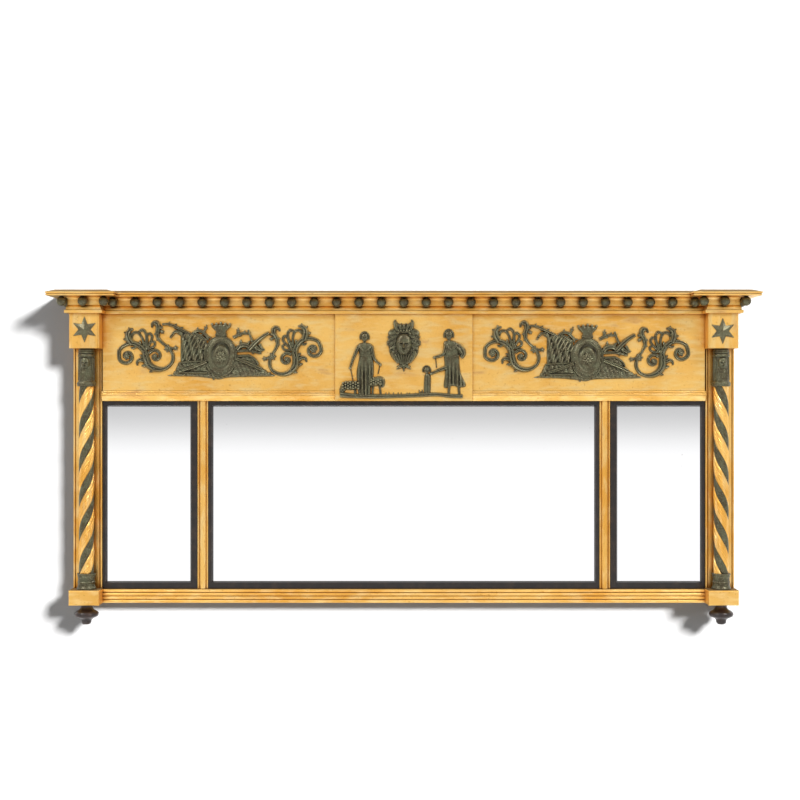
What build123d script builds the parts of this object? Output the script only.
from build123d import *
import math
import os

# Overmantel mirror in three plates: a pine carcase with gilt mouldings, bronzed ornament,
# twisted corner columns and a ball-hung cornice that breaks forward over the columns.
# Millimetres. +Z is up and the front faces -Y. The wall is the plane y = 0, and z = 0 is
# the mid-height of the bottom rail. "Reach" below is a distance in front of the wall.

# Driving dimensions: widths
centre_sight_width = 821.0
side_sight_width = 178.2
slip_cover_centre = 10.3
slip_cover_inner = 16.7
slip_cover_outer = 9.3
mullion_width = 23.0
stile_width = 61.5
block_width = 64.0
tablet_width = 294.0

# Driving dimensions: heights
bottom_rail_height = 29.4
sight_height = 375.9
slip_cover_bottom = 15.5
slip_cover_top = 12.3
architrave_height = 21.4
frieze_height = 164.7
bed_mould_height = 17.1
cornice_hollow_height = 17.9
cornice_lip_height = 13.3
block_drop = 74.3
capital_height = 80.8
column_base_height = 34.0
plinth_height = 31.7

# Driving dimensions: reaches in front of the wall
rail_reach = 34.0
stile_reach = 30.0
mullion_reach = 30.0
recess_depth = 8.0
top_rail_thickness = 18.0
panel_thickness = 8.0
tablet_thickness = 14.0
cornice_core_reach = 38.0
block_reach = 72.0
plinth_reach = 74.0

# Driving dimensions: mouldings
edge_bead = 5.0
bead_quirk = 1.2
cornice_overhang = 40.5
cornice_weathering = 18.0
bed_projection = 8.0
reed_count = 4
block_chamfer = 4.5
plinth_chamfer = 2.0

# Driving dimensions: glazing
slip_reach = 24.0
slip_bevel = 3.0
slip_rabbet = 5.5
glass_thickness = 4.0
glass_clearance = 0.5
fit_clearance = 0.2
backboard_thickness = 6.0
backboard_lap = 8.0
block_length = 24.0
block_pitch = 210.0

# Driving dimensions: turned work
column_radius = 16.5
column_valley = 14.6
band_radius = 16.0
gold_lobe_angle = 100.0
lobe_facets = 3
band_facets = 2
column_lead = 147.0
column_step_angle = 25.0
column_clearance = 0.1
capital_radius = 17.5
collar_radius = 20.0
base_radius = 18.7
base_flare_radius = 20.5
foot_neck_radius = 12.0
foot_disc_radius = 25.7
foot_knob_radius = 9.8
foot_drop = 43.0
spigot_radius = 6.0
spigot_length = 14.0
spigot_clearance = 0.1

# Driving dimensions: balls, star and ornament
ball_radius = 10.3
ball_pitch = 47.8
ball_end_gap = 24.1
ball_offset = 12.5
ball_clearance = 0.3
ball_sides = 6
ball_seat = 3.1
star_radius = 27.0
star_valley = 10.5
star_height = 5.0
star_rise = 7.0
ornament_thickness = 5.0
scroll_grid = 1.0
trophy_grid = 1.0
figure_grid = 1.0
mask_grid = 1.0
mask_rise = 30.0
stroke_step = 15.0
lathe_sides = 16

# Driving dimensions: hanging fittings
hanger_spacing = 1000.0
hanger_drop = 61.6
strap_width = 18.0
strap_length = 48.0
strap_thickness = 1.2
ring_wire_radius = 2.0
ring_play = 0.3
ring_half_width = 16.0
ring_corner = 5.0
ring_leg = 14.0
ring_bend_steps = 10
ring_wire_sides = 8
screw_head_radius = 4.0
screw_head_height = 1.5
screw_shank_radius = 2.0
screw_length = 12.0
screw_sides = 6
screw_drops = (12.0, 38.0)

# Levels and lines that follow from them
rail_top = bottom_rail_height / 2
rail_bottom = -rail_top
sight_bottom = rail_top + slip_cover_bottom
sight_top = sight_bottom + sight_height
opening_top = sight_top + slip_cover_top
frieze_bottom = opening_top + architrave_height
bed_bottom = frieze_bottom + frieze_height
bed_top = bed_bottom + bed_mould_height
soffit = bed_top + cornice_hollow_height
cornice_top = soffit + cornice_lip_height
block_bottom = bed_bottom - block_drop
capital_bottom = block_bottom - capital_height
plinth_top = rail_bottom + plinth_height
column_bottom = plinth_top + column_base_height

hanger_height = bed_top - hanger_drop
frieze_middle = (frieze_bottom + bed_bottom) / 2

centre_sight = centre_sight_width / 2
mullion_inner = centre_sight + slip_cover_centre
mullion_outer = mullion_inner + mullion_width
side_sight_inner = mullion_outer + slip_cover_inner
side_sight_outer = side_sight_inner + side_sight_width
stile_inner = side_sight_outer + slip_cover_outer
stile_outer = stile_inner + stile_width
block_outer = stile_outer
block_inner = block_outer - block_width
block_x = (block_outer + block_inner) / 2
panel_middle = (tablet_width / 2 + block_inner) / 2

top_rail_reach = recess_depth + top_rail_thickness
panel_reach = top_rail_reach + panel_thickness
tablet_reach = top_rail_reach + tablet_thickness
column_reach = stile_reach + column_radius + column_clearance
glass_back = recess_depth + glass_thickness
glass_front = glass_back + glass_thickness
rabbet_width = backboard_lap + glass_clearance


def board(x_low, x_high, reach_low, reach_high, z_low, z_high):
    """Squared board between two reaches in front of the wall."""
    centre = Pos((x_low + x_high) / 2, -(reach_low + reach_high) / 2, (z_low + z_high) / 2)
    return centre * Box(x_high - x_low, reach_high - reach_low, z_high - z_low)


def run_across(profile, x_low, x_high):
    """Moulding along X from a profile drawn as (reach, height)."""
    end = Plane(origin=(x_high, 0, 0), x_dir=(0, -1, 0), z_dir=(-1, 0, 0))
    return extrude(end * profile, amount=x_high - x_low)


def run_upright(profile, z_low, z_high):
    """Moulding along Z from a profile drawn as (x, reach)."""
    end = Plane(origin=(0, 0, z_high), x_dir=(1, 0, 0), z_dir=(0, 0, -1))
    return extrude(end * profile, amount=z_high - z_low)


def planted(outline, place, grid, reach, thickness):
    """Flat ornament at a place (x, z) on a face, from an outline drawn on its own grid."""
    x, z = place
    face = Plane(origin=(x, -reach, z), x_dir=(1, 0, 0), z_dir=(0, -1, 0))
    return extrude(face * scale(outline, by=grid), amount=thickness)


def oval(half_width, half_height, level, sides):
    """Corner points of an upright oval or round ring."""
    angles = [2 * math.pi * (i + 0.5) / sides for i in range(sides)]
    return [(half_width * math.cos(a), half_height * math.sin(a), level) for a in angles]


def faceted(rings, twisted=False):
    """Solid of flat facets that join each ring of points to the next, closed at both ends."""
    outlines = [rings[0], rings[-1]]
    for low, high in zip(rings, rings[1:]):
        for i in range(len(low)):
            corners = [low[i - 1], low[i], high[i], high[i - 1]]
            outlines += [corners[:3], corners[2:] + corners[:1]] if twisted else [corners]
    return Solid(Shell([Face(Wire.make_polygon(points, close=True)) for points in outlines]))


def turned(profile, x, reach, z):
    """Lathe-turned piece about an upright axis, from (radius, height) points going up."""
    rings = [oval(radius, radius, height, lathe_sides) for radius, height in profile]
    return Pos(x, -reach, z) * faceted(rings)


def other_side(piece):
    """The same piece for the left-hand side."""
    return mirror(piece, about=Plane.YZ)


def bead_row(start, widths, level, along_reach):
    """Half-round reeds side by side, as edges, with the flat level they rise from."""
    edges = []
    place = start
    for width in widths:
        middle = place + width / 2
        rise = level + abs(width) * 0.36
        ends = ((place, level), (middle, rise), (place + width, level))
        if along_reach:
            ends = [(reach, height) for height, reach in ends]
        edges.append(ThreePointArc(*ends))
        place += width
    return edges


# Carcase

def make_bottom_rail():
    """Reeded rail between the stiles, rebated behind for the backboards."""
    reed = bottom_rail_height / reed_count
    flat = rail_reach - reed * 0.36
    edges = bead_row(rail_bottom, [reed] * reed_count, flat, True)
    edges.append(Polyline((flat, rail_top), (recess_depth, rail_top),
                          (recess_depth, rail_top - rabbet_width),
                          (0, rail_top - rabbet_width), (0, rail_bottom), (flat, rail_bottom)))
    rail = run_across(make_face(edges), -stile_inner, stile_inner)
    for low, high in ((-stile_inner, -block_inner), (block_inner, stile_inner)):
        rail -= board(low, high, stile_reach, rail_reach, rail_bottom, rail_top)
    return rail


def make_top_rail():
    """Board behind the frieze, set back from the wall so that the hangers lie inside."""
    rail = board(-stile_inner, stile_inner, recess_depth, top_rail_reach, opening_top, bed_top)
    for x in (-hanger_spacing / 2, hanger_spacing / 2):
        for drop in screw_drops:
            seat = Plane(origin=(x, -recess_depth, hanger_height - drop), z_dir=(0, -1, 0))
            rail -= extrude(seat * RegularPolygon(screw_shank_radius, screw_sides), amount=screw_length)
    return rail


def make_stile():
    """Right-hand upright with a bead on each front edge, rebated behind."""
    flat = stile_reach - edge_bead * 0.36
    first = stile_inner + edge_bead
    last = stile_outer - edge_bead
    edges = bead_row(stile_inner, [edge_bead], flat, False)
    edges.append(Polyline((first, flat), (first + bead_quirk, flat),
                          (first + bead_quirk, stile_reach), (last - bead_quirk, stile_reach),
                          (last - bead_quirk, flat), (last, flat)))
    edges += bead_row(last, [edge_bead], flat, False)
    edges.append(Polyline((stile_outer, flat), (stile_outer, 0), (stile_inner + rabbet_width, 0),
                          (stile_inner + rabbet_width, recess_depth),
                          (stile_inner, recess_depth), (stile_inner, flat)))
    return run_upright(make_face(edges), rail_bottom, bed_top)


def make_mullion():
    """Right-hand bar between two plates: a round between two small reeds."""
    reed = mullion_width * 0.17
    flat = mullion_reach - (mullion_width - 2 * reed) * 0.36
    edges = bead_row(mullion_inner, [reed, mullion_width - 2 * reed, reed], flat, False)
    edges.append(Polyline((mullion_outer, flat), (mullion_outer, recess_depth),
                          (mullion_outer - rabbet_width, recess_depth),
                          (mullion_outer - rabbet_width, 0), (mullion_inner + rabbet_width, 0),
                          (mullion_inner + rabbet_width, recess_depth),
                          (mullion_inner, recess_depth), (mullion_inner, flat)))
    return run_upright(make_face(edges), rail_top, opening_top)


def make_frieze_panel():
    """Right-hand frieze panel, planted on the top rail."""
    return board(tablet_width / 2, block_inner, top_rail_reach, panel_reach,
                 frieze_bottom, bed_bottom)


def make_tablet():
    """Raised centre tablet, which runs down to the centre plate's slip."""
    return board(-tablet_width / 2, tablet_width / 2, top_rail_reach, tablet_reach,
                 opening_top, bed_bottom)


def make_architrave():
    """Right-hand moulding under the frieze: two beads over a sloping flat."""
    upper = 4.2
    lower = 5.2
    flat = panel_reach + 1.0
    slope = frieze_bottom - upper - lower
    edges = bead_row(frieze_bottom, [-upper, -lower], flat, True)
    edges.append(Polyline((flat, slope), (flat + 1.2, slope), (panel_reach - 3, opening_top),
                          (top_rail_reach, opening_top), (top_rail_reach, frieze_bottom),
                          (flat, frieze_bottom)))
    return run_across(make_face(edges), tablet_width / 2, stile_inner)


# Cornice

def crown_profile():
    """Overhanging lip with a hollow under it, drawn as (overhang, height)."""
    lip_low = soffit
    groove_low = soffit + 2.6
    groove_high = soffit + 4.8
    lip_high = soffit + cornice_lip_height - 5.8
    cove = 7.0
    wall = ball_offset - ball_radius - ball_clearance
    edges = [
        Polyline((0, cornice_top), (0, bed_top), (wall, bed_top), (wall, soffit - cove)),
        ThreePointArc((wall, soffit - cove), (wall + cove * 0.293, soffit - cove * 0.293),
                      (wall + cove, soffit)),
        Polyline((wall + cove, soffit), (cornice_overhang - 1, lip_low),
                 (cornice_overhang - 1, groove_low), (cornice_overhang - 2.2, groove_low),
                 (cornice_overhang - 2.2, groove_high), (cornice_overhang, groove_high),
                 (cornice_overhang, lip_high),
                 (cornice_overhang - cornice_weathering, cornice_top), (0, cornice_top)),
    ]
    return make_face(edges)


def bed_profile():
    """Bed mould: a fillet under an ovolo, drawn as (projection, height)."""
    fillet = 6.5
    edges = [
        Polyline((0, bed_top), (0, bed_bottom), (bed_projection, bed_bottom),
                 (bed_projection, bed_bottom + fillet), (4.5, bed_bottom + fillet)),
        ThreePointArc((4.5, bed_bottom + fillet), (4.6, bed_bottom + fillet + 5.5),
                      (1.6, bed_top)),
        Line((1.6, bed_top), (0, bed_top)),
    ]
    return make_face(edges)


def break_mitre():
    """Plane of the inner mitre where the cornice breaks forward, facing the end block."""
    return Plane(origin=(block_inner, -cornice_core_reach, 0), z_dir=(1, -1, 0))


def run_centre(profile):
    """Cornice moulding across the middle, mitred into both breaks."""
    run = run_across(Pos(cornice_core_reach, 0) * profile, -stile_outer, stile_outer)
    run = split(run, bisect_by=break_mitre(), keep=Keep.BOTTOM)
    return other_side(split(other_side(run), bisect_by=break_mitre(), keep=Keep.BOTTOM))


def run_end(profile):
    """Cornice moulding round the right-hand end block, with its mitres."""
    path = Polyline((block_inner, 0, 0), (block_inner, -block_reach, 0),
                    (block_outer, -block_reach, 0), (block_outer, 0, 0))
    start = Plane(origin=(block_inner, 0, 0), x_dir=(-1, 0, 0), z_dir=(0, 1, 0))
    run = sweep(start * profile, path=path, transition=Transition.RIGHT)
    return split(run, bisect_by=break_mitre(), keep=Keep.TOP)


def make_cornice_core():
    """Built-up board that carries the crown moulding and covers the carcase."""
    core = board(-stile_outer, stile_outer, 0, cornice_core_reach, bed_top, cornice_top)
    for low, high in ((-block_outer, -block_inner), (block_inner, block_outer)):
        core += board(low, high, cornice_core_reach, block_reach, bed_top, cornice_top)
    return core


def make_bed_centre():
    """Bed mould over the frieze, with the packing that carries it off the top rail."""
    packing = board(-block_inner, block_inner, top_rail_reach, cornice_core_reach,
                    bed_bottom, bed_top)
    return packing + run_centre(bed_profile())


def make_ball():
    """Turned ball, pinned under the soffit with a small seat."""
    rings = []
    for latitude in (-90, -42, 0, 42, 90):
        lift = ball_radius * math.sin(math.radians(latitude))
        radius = max(ball_radius * math.cos(math.radians(latitude)), ball_seat)
        rings.append(oval(radius, radius, lift, ball_sides))
    return faceted(rings)


def ball_places():
    """(x, reach) of each ball: a row across the middle, three on each end and one round it."""
    last = block_inner - ball_end_gap
    gaps = round(2 * last / ball_pitch)
    middle = cornice_core_reach + ball_offset
    places = [(-last + 2 * last * i / gaps, middle) for i in range(gaps + 1)]
    front = block_reach + ball_offset
    half = block_width / 2 + ball_offset
    for side in (-1, 1):
        places += [(side * (block_x + k * half), front) for k in (-1, 0, 1)]
        places.append((side * (block_x + half), front - half))
    return places


def make_balls():
    """All the balls, as separate solids of one node."""
    ball = make_ball()
    level = soffit - ball_radius
    return Compound(children=[Pos(x, -reach, level) * ball for x, reach in ball_places()])


# Corner blocks, columns and feet

def make_corner_block():
    """Right-hand block over the column, its front arrises chamfered."""
    block = board(block_inner, block_outer, stile_reach, block_reach, block_bottom, bed_top)
    arrises = block.edges().filter_by(Axis.Z).group_by(Axis.Y)[0]
    return chamfer(arrises, block_chamfer)


def make_star():
    """Six-pointed star with a ridge down every point."""
    outline = []
    for i in range(12):
        radius = star_radius if i % 2 == 0 else star_valley
        angle = math.radians(90 + 30 * i)
        outline.append((radius * math.cos(angle), radius * math.sin(angle)))
    plate_thickness = 1.2
    plate = extrude(make_face(Polyline(*outline, close=True)), amount=plate_thickness)
    rim = Pos(0, 0, plate_thickness) * make_face(Polyline(*outline, close=True))
    ridges = loft([rim.face(), Vertex(0, 0, star_height)], ruled=True)
    level = (bed_bottom + block_bottom) / 2 + star_rise
    seat = Plane(origin=(block_x, -block_reach, level), x_dir=(1, 0, 0), z_dir=(0, -1, 0))
    return seat.location * (plate + ridges)


def trim_to_stile(piece):
    """Flat back, where a turned piece is glued to the stile."""
    behind = board(stile_inner - block_width, stile_outer + block_width, -block_width,
                   stile_reach, rail_bottom, bed_top)
    return piece - behind


def column_section():
    """(radius, angle) corners of two gilt lobes and two bronzed bands, meeting in valleys."""
    gold = math.radians(gold_lobe_angle)
    breaks = (0, gold, math.pi, math.pi + gold, 2 * math.pi)
    crests = (column_radius, band_radius, column_radius, band_radius)
    facets = (lobe_facets, band_facets, lobe_facets, band_facets)
    corners = []
    for first, last, crest, count in zip(breaks, breaks[1:], crests, facets):
        corners.append((column_valley, first))
        for k in range(1, count):
            corners.append((crest, first + (last - first) * k / count))
    return corners


def make_column():
    """Right-hand shaft: the section turned steadily as it rises."""
    height = capital_bottom - column_bottom
    turn = 2 * math.pi * height / column_lead
    steps = round(turn / math.radians(column_step_angle))
    section = column_section()
    rings = []
    for k in range(steps + 1):
        share = k / steps
        rings.append([(radius * math.cos(angle + turn * share),
                       radius * math.sin(angle + turn * share), height * share)
                      for radius, angle in section])
    return Pos(block_x, -column_reach, column_bottom) * faceted(rings, twisted=True)


def make_column_base():
    """Moulded drum between the plinth and the shaft."""
    flare = base_flare_radius
    drum = base_radius
    profile = [(flare, 0), (flare, 4), (drum, 8), (drum, 15), (drum - 1.4, 17.5), (drum, 20),
               (drum, 27), (drum - 1.2, 28.5), (drum + 0.3, 31), (drum + 0.3, column_base_height)]
    return trim_to_stile(turned(profile, block_x, column_reach, plinth_top))


def make_capital():
    """Herm capital: a draped bust with a banded headdress, rising from a beaded collar."""
    collar = collar_radius
    top = capital_radius
    profile = [(collar - 2, 0), (collar, 3.5), (collar, 8), (top - 1, 12), (top - 0.5, 22),
               (top - 2.5, 40), (top, 60), (top, 68), (top - 1.4, 70), (top, 72), (top, 77),
               (top - 1.4, capital_height)]
    body = turned(profile, block_x, column_reach, capital_bottom)
    seat = column_reach + top - 7
    face = boss((block_x, capital_bottom + 50), seat, 19, 27, 8.5, 10)
    chest = boss((block_x, capital_bottom + 24), seat, 24, 20, 7)
    return trim_to_stile(body + face + chest)


def make_plinth():
    """Right-hand plinth block, bevelled on the front, bored for the foot's spigot."""
    block = board(block_inner, block_outer, stile_reach, plinth_reach, rail_bottom, plinth_top)
    front = block.faces().sort_by(Axis.Y)[0]
    block = chamfer(front.edges(), plinth_chamfer)
    bore = Cylinder(spigot_radius + spigot_clearance, spigot_length,
                    align=(Align.CENTER, Align.CENTER, Align.MIN))
    return block - Pos(block_x, -column_reach, rail_bottom) * bore


def make_foot():
    """Turned foot: neck, wide disc and small knob, with a spigot up into the plinth."""
    neck = foot_neck_radius
    disc = foot_disc_radius
    knob = foot_knob_radius
    profile = [(knob - 5, -foot_drop), (knob - 1.5, -foot_drop + 4), (knob, -foot_drop + 10),
               (knob + 2, -27.5), (disc - 7, -25), (disc - 1, -21.5), (disc, -18.5),
               (disc - 2, -15.5), (disc - 8, -12), (neck, -8), (neck - 1, -4), (neck + 1, 0),
               (spigot_radius, 0), (spigot_radius, spigot_length - 1)]
    return turned(profile, block_x, column_reach, rail_bottom)


# Ornament: tapered stems, lumps and silhouettes in relief

def smooth_line(marks):
    """Points about a stroke step apart on a smooth line through (x, z, width) marks."""
    line = []
    last = len(marks) - 1
    for i in range(last):
        before = marks[max(i - 1, 0)]
        here = marks[i]
        there = marks[i + 1]
        after = marks[min(i + 2, last)]
        steps = max(1, round(math.dist(here[:2], there[:2]) / stroke_step))
        for k in range(steps):
            t = k / steps
            line.append(tuple(
                0.5 * (2 * b + (c - a) * t + (2 * a - 5 * b + 4 * c - d) * t ** 2
                       + (3 * b - a - 3 * c + d) * t ** 3)
                for a, b, c, d in zip(before, here, there, after)))
    line.append(marks[-1])
    return line


def stem(marks):
    """Outline of a stem whose width changes along a smooth line, with pointed ends."""
    line = smooth_line(marks)
    left = []
    right = []
    for i, (x, z, width) in enumerate(line):
        x_before, z_before = line[max(i - 1, 0)][:2]
        x_after, z_after = line[min(i + 1, len(line) - 1)][:2]
        along = math.hypot(x_after - x_before, z_after - z_before)
        across_x = -(z_after - z_before) / along * width / 2
        across_z = (x_after - x_before) / along * width / 2
        left.append((x + across_x, z + across_z))
        right.append((x - across_x, z - across_z))
        if i == 0:
            start = (x - across_z, z + across_x)
    end = (x + across_z, z - across_x)
    return make_face(Polyline(start, *left, end, *reversed(right), close=True))


def volute_marks(x, z, radii, angles, widths, count):
    """Marks along a spiral about (x, z) whose radius and width change evenly."""
    marks = []
    for i in range(count + 1):
        share = i / count
        angle = math.radians(angles[0] + (angles[1] - angles[0]) * share)
        radius = radii[0] + (radii[1] - radii[0]) * share
        width = widths[0] + (widths[1] - widths[0]) * share
        marks.append((x + radius * math.cos(angle), z + radius * math.sin(angle), width))
    return marks


def bud(x, z, radius):
    return Pos(x, z) * RegularPolygon(radius, 7)


def joined(outlines):
    return Sketch() + outlines


def boss(place, reach, width, height, rise, sides=8):
    """Rounded boss in relief on an oval base, at a place (x, z)."""
    x, z = place
    steps = ((1.0, 0.0), (0.85, 0.6), (0.4, 1.0))
    rings = [oval(share * width / 2, share * height / 2, rise * lift, sides)
             for share, lift in steps]
    seat = Plane(origin=(x, -reach, z), x_dir=(1, 0, 0), z_dir=(0, -1, 0))
    return seat.location * faceted(rings)


def scroll_outlines():
    """Acanthus scroll, drawn as (x, z) about the middle of its trunk."""
    main = [(17, 57, 3), (20.5, 64, 6), (27.5, 65, 8.5), (30.5, 57, 10), (27.5, 45, 9),
            (29.5, 33, 6.5), (38, 22, 5.5), (48.5, 12.5, 6.5), (57.5, -3, 7), (56, -18, 7),
            (46, -29, 7), (32, -33.5, 8), (17, -31, 11), (5, -22, 13), (0, -7, 12), (-2, 7, 11),
            (-11, 18.5, 10.5), (-25, 26, 9.5), (-40, 25, 8), (-52, 18, 7.5), (-57, 10, 7.5)]
    main += volute_marks(-41, -0.5, (17.8, 4.2), (170, 560), (7.4, 5), 8)
    small = volute_marks(20, -4.5, (15, 4), (150, -200), (7, 5), 7)
    lower_leaf = [(0, -14, 9), (-7, -11.5, 8), (-14.5, -10.5, 6.5), (-19.5, -15, 5), (-19.5, -22, 3)]
    tall_leaf = [(-27, 25, 12), (-34, 36, 13), (-35, 47, 10), (-30, 55, 6.5), (-23, 57, 2.5)]
    under_leaf = [(-19, 20, 6), (-26, 15.5, 4.5), (-31, 18, 2)]
    palm = [
        [(-28, 38, 4), (-24, 47, 4.5), (-15.5, 49, 5), (-9.5, 43.5, 4.5), (-4.8, 34, 4), (-1, 17, 6)],
        [(-11, 50, 4), (-3.8, 53.5, 5), (2, 48.5, 5), (4.5, 38, 5), (2.5, 17, 7)],
        [(6.7, 42, 3.5), (11.5, 45, 4.5), (16, 38, 4.5), (13.5, 29.5, 4), (5, 15, 5)],
        [(13.4, 27, 3.5), (20, 26, 4), (20.5, 19.5, 4), (15, 14.5, 4), (4, 12, 5)],
    ]
    tie = [(29, 55, 6), (40, 58, 5.5), (50, 57.5, 5.5)]
    spur = [(30, 50, 7), (40.5, 46.5, 5)]
    bud_stalk = [(50, 9, 7), (64, 9.6, 4)]
    lines = [main, small, lower_leaf, tall_leaf, under_leaf, tie, spur, bud_stalk] + palm
    buds = [bud(48, 10, 7.5), bud(43.5, 3, 4.2), bud(66, 9.8, 4.6), bud(41, 46.3, 4)]
    return [stem(marks) for marks in lines] + buds


def make_scroll(x, z, tilt, mirrored):
    """One scroll on the frieze, turned by its tilt, or mirrored to the trophy's other side."""
    outline = joined(scroll_outlines())
    if mirrored:
        outline = mirror(outline, about=Plane.YZ)
    return planted(Rot(0, 0, tilt) * outline, (x, z), scroll_grid, panel_reach,
                   ornament_thickness)


def outline_of(*points):
    return make_face(Polyline(*points, close=True))


def make_trophy(x, z):
    """Trophy of arms: a crowned oval shield between flags, a drum, a gun and laurel."""
    plinth = outline_of((-120, -47.5), (-106, -40), (-88, -36), (-60, -34), (60, -34),
                        (84, -36), (100, -41), (114, -47), (98, -50), (-98, -50))
    flags = outline_of((-87, 41), (-96, 47), (-90, 56), (-78, 55), (-58, 46), (-36, 31),
                       (-24, 20), (-24, -20), (-84, -18))
    drum = outline_of((-92, -17), (-34, -8), (-28, -46), (-92, -46))
    gun = outline_of((24, 5), (62, 7), (77, -2), (88, -20), (92, -33), (84, -46), (24, -46))
    shield = Ellipse(33, 45)
    crown = outline_of((-10, 40), (-11, 52), (-22, 68), (-15, 65), (-9, 69), (-4, 66), (0, 71),
                       (4, 66), (9, 69), (15, 65), (22, 68), (11, 52), (10, 40))
    poles = [
        stem([(-106, 62, 5), (-96, 60.5, 6), (-80, 53, 6.5), (-60, 43, 5)]),
        stem([(-88, 46, 6), (-97, 50, 5), (-105, 43, 4.5), (-110, 37, 4)]),
        stem([(62, 14, 9), (74, 27, 9), (88, 39, 8), (102, 47.5, 6)]),
        stem([(58, 52, 4), (64, 38, 5), (72, 20, 6)]),
    ]
    sprays = [
        stem([(-62, 44, 5), (-52, 52, 7), (-40, 50, 7), (-28, 38, 8)]),
        stem([(-38, 46, 5), (-34, 56, 7), (-31, 63, 2)]),
        stem([(26, 38, 6), (36, 43, 8), (48, 47, 6), (60, 46, 4)]),
        stem([(34, 40, 5), (36, 50, 6), (37, 57, 2)]),
        stem([(32, 14, 8), (42, 22, 8), (54, 23, 8), (66, 15, 8)]),
        stem([(80, 24, 6), (86, 14, 4)]),
    ]
    step = ornament_thickness
    heights = ((plinth, 0.8), (flags, 1.0), (drum, 1.4), (gun, 1.3), (shield, 1.6), (crown, 1.4),
               (joined(poles + sprays), 1.0))
    pieces = [planted(outline, (x, z), trophy_grid, panel_reach, step * height)
              for outline, height in heights]
    pieces.append(boss((x, z), panel_reach + 1.5 * step, 48 * trophy_grid, 74 * trophy_grid,
                       step, 12))
    return pieces[0] + pieces[1:]


def make_mask():
    """Bearded mask of a generic kind, ringed with curls and hung on a ribbon."""
    level = (bed_bottom + opening_top) / 2 + mask_rise
    hair = []
    for i in range(12):
        angle = math.radians(75 - 30 * i)
        hair.append(bud(27 * math.cos(angle), 2 + 27 * math.sin(angle), 10))
    horns = [outline_of((-22, 28), (-18, 49), (-8, 34)), outline_of((22, 28), (17, 49), (8, 34))]
    beard = outline_of((-24, -18), (-13, -40), (-4, -48), (4, -48), (13, -40), (24, -18))
    ribbon = [outline_of((-5, -44), (-15, -55), (-6, -53), (0, -60), (6, -53), (15, -55), (5, -44))]
    head = Circle(28)
    outline = joined([head] + hair + horns + [beard] + ribbon)
    flat = planted(outline, (0, level), mask_grid, tablet_reach, ornament_thickness)
    seat = tablet_reach + 0.9 * ornament_thickness
    face = boss((0, level), seat, 38 * mask_grid, 56 * mask_grid, 8 * mask_grid, 12)
    nose = boss((0, level - 3 * mask_grid), seat + 5.5 * mask_grid, 8 * mask_grid,
                20 * mask_grid, 4.5 * mask_grid, 6)
    return flat + face + nose


def make_figures():
    """Two standing figures and a child with sheep, cast as one piece on a strip of ground."""
    low = opening_top
    ground = [stem([(-136, 14, 14), (-110, 11, 11), (-60, 10, 11), (0, 11, 9), (40, 13, 10),
                    (70, 14, 9), (100, 11, 10), (126, 10, 9)])]
    left_dress = outline_of((-99, 119), (-88, 125), (-80, 125), (-67, 119), (-66, 97), (-64, 62),
                            (-73, 12), (-95, 12), (-101, 62), (-95, 97))
    left_arms = [stem([(-97, 117, 8), (-108, 91, 7), (-114.5, 71, 6)]),
                 stem([(-114, 70, 2.5), (-108, 40, 2.5)]),
                 stem([(-69, 117, 8), (-63, 91, 7), (-49, 77, 6)]),
                 stem([(-51, 77, 2.5), (-55, 58, 2.5)])]
    sheep = [stem([(-133, 22, 9), (-125, 32, 20), (-108, 33, 20), (-94, 33, 14)]),
             stem([(-135, 26, 7), (-134, 10, 6)]), stem([(-104, 28, 6), (-104, 10, 6)]),
             stem([(-72, 38, 18), (-58, 42, 22), (-48, 44, 18), (-44, 34, 10)]),
             stem([(-52, 34, 6), (-49, 12, 5)]), stem([(-66, 34, 6), (-67, 12, 5)])]
    right_dress = outline_of((85, 124), (93, 129), (106, 129), (116, 122), (118, 95), (122, 60),
                             (133, 34), (122, 29), (104, 32), (86, 29), (88, 60), (86, 95))
    right_arms = [stem([(90, 118, 8), (84, 100, 7), (64, 93, 6)]),
                  stem([(68, 93, 2.5), (70, 71, 2.5)]),
                  stem([(92, 72, 10), (76, 66, 7), (58, 58, 6)]),
                  stem([(112, 120, 16), (124, 110, 18), (128, 98, 9), (120, 94, 9)]),
                  stem([(97, 32, 6), (96, 15, 6)]), stem([(117, 32, 6), (119, 14, 6)])]
    child = [stem([(50, 60, 12), (51, 45, 16), (50, 22, 14), (50, 14, 12)]),
             stem([(30, 16, 10), (40, 20, 8), (44, 14, 6)])]
    neck = [stem([(-84, 122, 7), (-84, 130, 7)]), stem([(97, 126, 7), (96.5, 134, 7)])]
    heads = [Pos(-83.8, 136.3) * RegularPolygon(10, 10), Pos(96.2, 141) * RegularPolygon(10.5, 10),
             Pos(49, 65.7) * RegularPolygon(8.5, 10)]
    outline = joined(ground + [left_dress] + left_arms + sheep + [right_dress] + right_arms
                     + child + neck + heads)
    flat = planted(outline, (0, low), figure_grid, tablet_reach, ornament_thickness)
    rounds = [(-83.8, 136.3, 17, 19, 4), (96.2, 141, 18, 20, 4), (49, 65.7, 14, 16, 3.5),
              (-83, 107, 26, 30, 3), (-83, 55, 26, 80, 3), (102, 108, 26, 34, 3),
              (104, 62, 28, 60, 3), (-112, 33, 34, 18, 3), (-56, 42, 28, 18, 3), (51, 40, 14, 40, 2.5)]
    seat = tablet_reach + 0.9 * ornament_thickness
    for x, z, width, height, rise in rounds:
        place = (x * figure_grid, low + z * figure_grid)
        flat += boss(place, seat, width * figure_grid, height * figure_grid, rise * figure_grid)
    return flat


# Glazing

def pane_frames():
    """Name, opening edges and sight edges of each plate, from left to right."""
    return {
        "left": (-stile_inner, -mullion_outer, -side_sight_outer, -side_sight_inner),
        "centre": (-mullion_inner, mullion_inner, -centre_sight, centre_sight),
        "right": (mullion_outer, stile_inner, side_sight_inner, side_sight_outer),
    }


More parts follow.
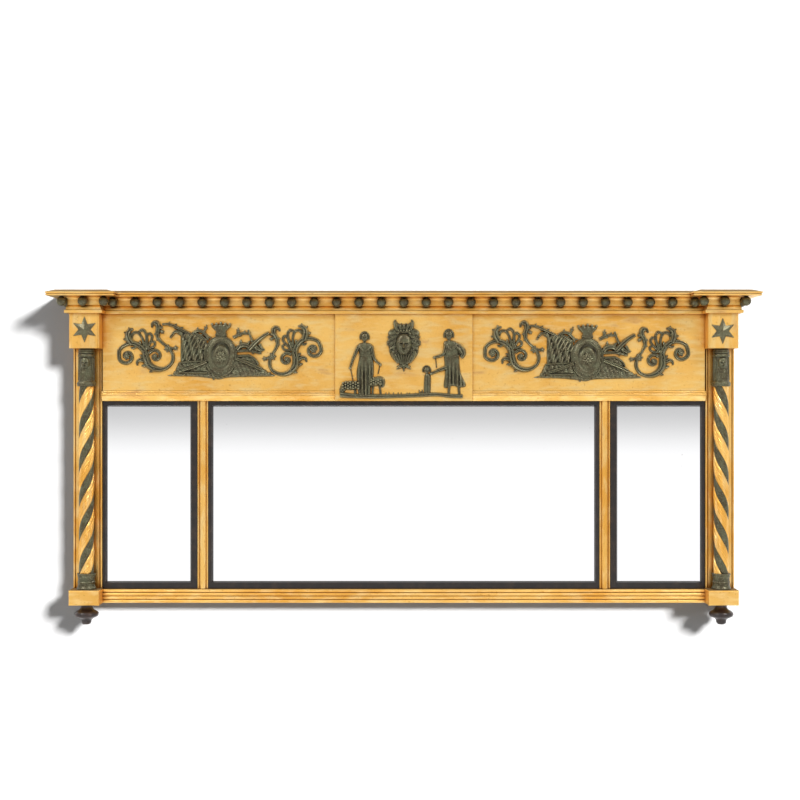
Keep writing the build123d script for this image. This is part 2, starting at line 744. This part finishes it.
def make_slip(opening_low, opening_high, sight_low, sight_high):
    """Ebonised slip frame: a bevelled face over the plate and a rim behind it."""
    fit = fit_clearance
    face = board(opening_low + fit, opening_high - fit, glass_front, slip_reach,
                 rail_top + fit, opening_top - fit)
    rim = board(opening_low + fit, opening_high - fit, recess_depth, glass_front,
                rail_top + fit, opening_top - fit)
    rabbet = board(sight_low - slip_rabbet, sight_high + slip_rabbet, recess_depth, glass_front,
                   sight_bottom - slip_rabbet, sight_top + slip_rabbet)
    middle_x = (sight_low + sight_high) / 2
    middle_z = (sight_bottom + sight_top) / 2
    width = sight_high - sight_low
    at_glass = Plane(origin=(middle_x, -glass_front, middle_z), x_dir=(1, 0, 0), z_dir=(0, -1, 0))
    at_front = Plane(origin=(middle_x, -slip_reach, middle_z), x_dir=(1, 0, 0), z_dir=(0, -1, 0))
    sight = loft([at_glass * Rectangle(width, sight_height),
                  at_front * Rectangle(width + 2 * slip_bevel, sight_height + 2 * slip_bevel)],
                 ruled=True)
    return (face - sight) + (rim - rabbet)


def make_glass(sight_low, sight_high):
    lap = slip_rabbet - glass_clearance
    return board(sight_low - lap, sight_high + lap, glass_back, glass_front,
                 sight_bottom - lap, sight_top + lap)


def make_backboard(opening_low, opening_high):
    """Thin panel let into the rebates behind the plate and lapped on the top rail."""
    low = opening_low - backboard_lap
    high = opening_high + backboard_lap
    return board(low, high, recess_depth - backboard_thickness, recess_depth,
                 rail_top - backboard_lap, opening_top + backboard_lap)


def make_glazing_blocks():
    """Small blocks glued in the slips that hold the plates forward."""
    blocks = []
    edge_bottom = sight_bottom - slip_rabbet
    edge_top = sight_top + slip_rabbet
    for _, _, low, high in pane_frames().values():
        count = max(1, round((high - low) / block_pitch))
        for i in range(count):
            x = low + (high - low) * (i + 0.5) / count
            for z in (edge_bottom, edge_top - slip_rabbet):
                blocks.append(board(x - block_length / 2, x + block_length / 2,
                                    recess_depth, glass_back, z, z + slip_rabbet))
        for z in (sight_bottom + sight_height / 3, sight_top - sight_height / 3):
            for x in (low - slip_rabbet, high):
                blocks.append(board(x, x + slip_rabbet, recess_depth, glass_back,
                                    z - block_length / 2, z + block_length / 2))
    return Compound(children=blocks)


# Hanging fittings on the back of the top rail

knuckle_bore = ring_wire_radius + ring_play
knuckle_radius = knuckle_bore + strap_thickness
hinge_reach = recess_depth - knuckle_radius


def make_strap(x):
    """Brass strap with a knuckle at its top for the ring's bar."""
    strap = board(x - strap_width / 2, x + strap_width / 2, recess_depth - strap_thickness,
                  recess_depth, hanger_height - strap_length, hanger_height)
    along = Plane(origin=(x - strap_width / 2, -hinge_reach, hanger_height), z_dir=(1, 0, 0))
    strap += extrude(along * Circle(knuckle_radius), amount=strap_width)
    strap -= extrude(along * Circle(knuckle_bore), amount=strap_width)
    for drop in screw_drops:
        seat = Plane(origin=(x, -recess_depth, hanger_height - drop), z_dir=(0, -1, 0))
        hole = RegularPolygon(screw_shank_radius, screw_sides)
        strap -= extrude(seat * hole, amount=strap_thickness, both=True)
    return strap


def make_ring(x):
    """D-shaped wire ring that hangs from the knuckle by its straight bar."""
    half = ring_half_width
    corner = ring_corner
    bends = [math.pi * k / ring_bend_steps for k in range(ring_bend_steps + 1)]
    path = [(half - corner, 0), (half, -corner)]
    path += [(half * math.cos(bend), -ring_leg - half * math.sin(bend)) for bend in bends]
    path += [(-half, -corner), (-half + corner, 0)]
    seat = Plane(origin=(x, -hinge_reach, hanger_height), x_dir=(1, 0, 0), z_dir=(0, -1, 0))
    bar_end = (x + half - corner, -hinge_reach, hanger_height)
    start = Plane(origin=bar_end, x_dir=(0, 1, 0), z_dir=(1, 0, -1))
    bow = sweep(start * RegularPolygon(ring_wire_radius, ring_wire_sides),
                path=seat * Polyline(*path), transition=Transition.RIGHT)
    along = Plane(origin=bar_end, z_dir=(-1, 0, 0))
    bar = extrude(along * Circle(ring_wire_radius), amount=2 * (half - corner))
    return bow + bar


def make_screws():
    screws = []
    for x in (-hanger_spacing / 2, hanger_spacing / 2):
        for drop in screw_drops:
            back = recess_depth - strap_thickness
            seat = Plane(origin=(x, -back, hanger_height - drop), z_dir=(0, -1, 0))
            head = extrude(seat * RegularPolygon(screw_head_radius, 2 * screw_sides),
                           amount=-screw_head_height)
            shank = extrude(seat * RegularPolygon(screw_shank_radius, screw_sides),
                            amount=screw_length)
            screws.append(head + shank)
    return Compound(children=screws)


# The whole mirror, one node for each piece or set of like pieces

nodes = {
    "bottom_rail": make_bottom_rail(),
    "top_rail": make_top_rail(),
    "frieze_tablet": make_tablet(),
    "cornice_core": make_cornice_core(),
    "crown_centre": run_centre(crown_profile()),
    "bed_mould_centre": make_bed_centre(),
    "cornice_balls": make_balls(),
    "mask": make_mask(),
    "tablet_figures": make_figures(),
    "glazing_blocks": make_glazing_blocks(),
    "hanger_screws": make_screws(),
}

right_hand = {
    "stile": make_stile(),
    "mullion": make_mullion(),
    "frieze_panel": make_frieze_panel(),
    "architrave": make_architrave(),
    "crown": run_end(crown_profile()),
    "bed_mould": run_end(bed_profile()),
    "corner_block": make_corner_block(),
    "star": make_star(),
    "capital": make_capital(),
    "column": make_column(),
    "column_base": make_column_base(),
    "plinth": make_plinth(),
    "foot": make_foot(),
}
for name, piece in right_hand.items():
    nodes[name + "_right"] = piece
    nodes[name + "_left"] = other_side(piece)

for side, sign in (("left", -1), ("right", 1)):
    nodes["hanger_strap_" + side] = make_strap(sign * hanger_spacing / 2)
    nodes["hanger_ring_" + side] = make_ring(sign * hanger_spacing / 2)

# Ornament is planted about the middle of each frieze panel: (along, up, tilt, mirrored)
trophy_offsets = {"left": (4.8, -5.6), "right": (-2.8, -9.6)}
scroll_offsets = {
    "outer_left": (-156.4, -3.1, 7, False),
    "inner_left": (167.3, -1.1, -14, True),
    "inner_right": (-165.3, -2.6, 0, False),
    "outer_right": (159.3, -7.3, -14, True),
}
panel_middles = {"left": -panel_middle, "right": panel_middle}
for side, (along, up) in trophy_offsets.items():
    nodes["trophy_" + side] = make_trophy(panel_middles[side] + along, frieze_middle + up)
for name, (along, up, tilt, mirrored) in scroll_offsets.items():
    middle = panel_middles[name.split("_")[1]]
    nodes["scroll_" + name] = make_scroll(middle + along, frieze_middle + up, tilt, mirrored)

for side, (opening_low, opening_high, sight_low, sight_high) in pane_frames().items():
    nodes["slip_" + side] = make_slip(opening_low, opening_high, sight_low, sight_high)
    nodes["glass_" + side] = make_glass(sight_low, sight_high)
    nodes["backboard_" + side] = make_backboard(opening_low, opening_high)

os.makedirs("parts", exist_ok=True)
for name, piece in nodes.items():
    export_step(piece, "parts/" + name + ".step")
print(len(nodes), "nodes written")
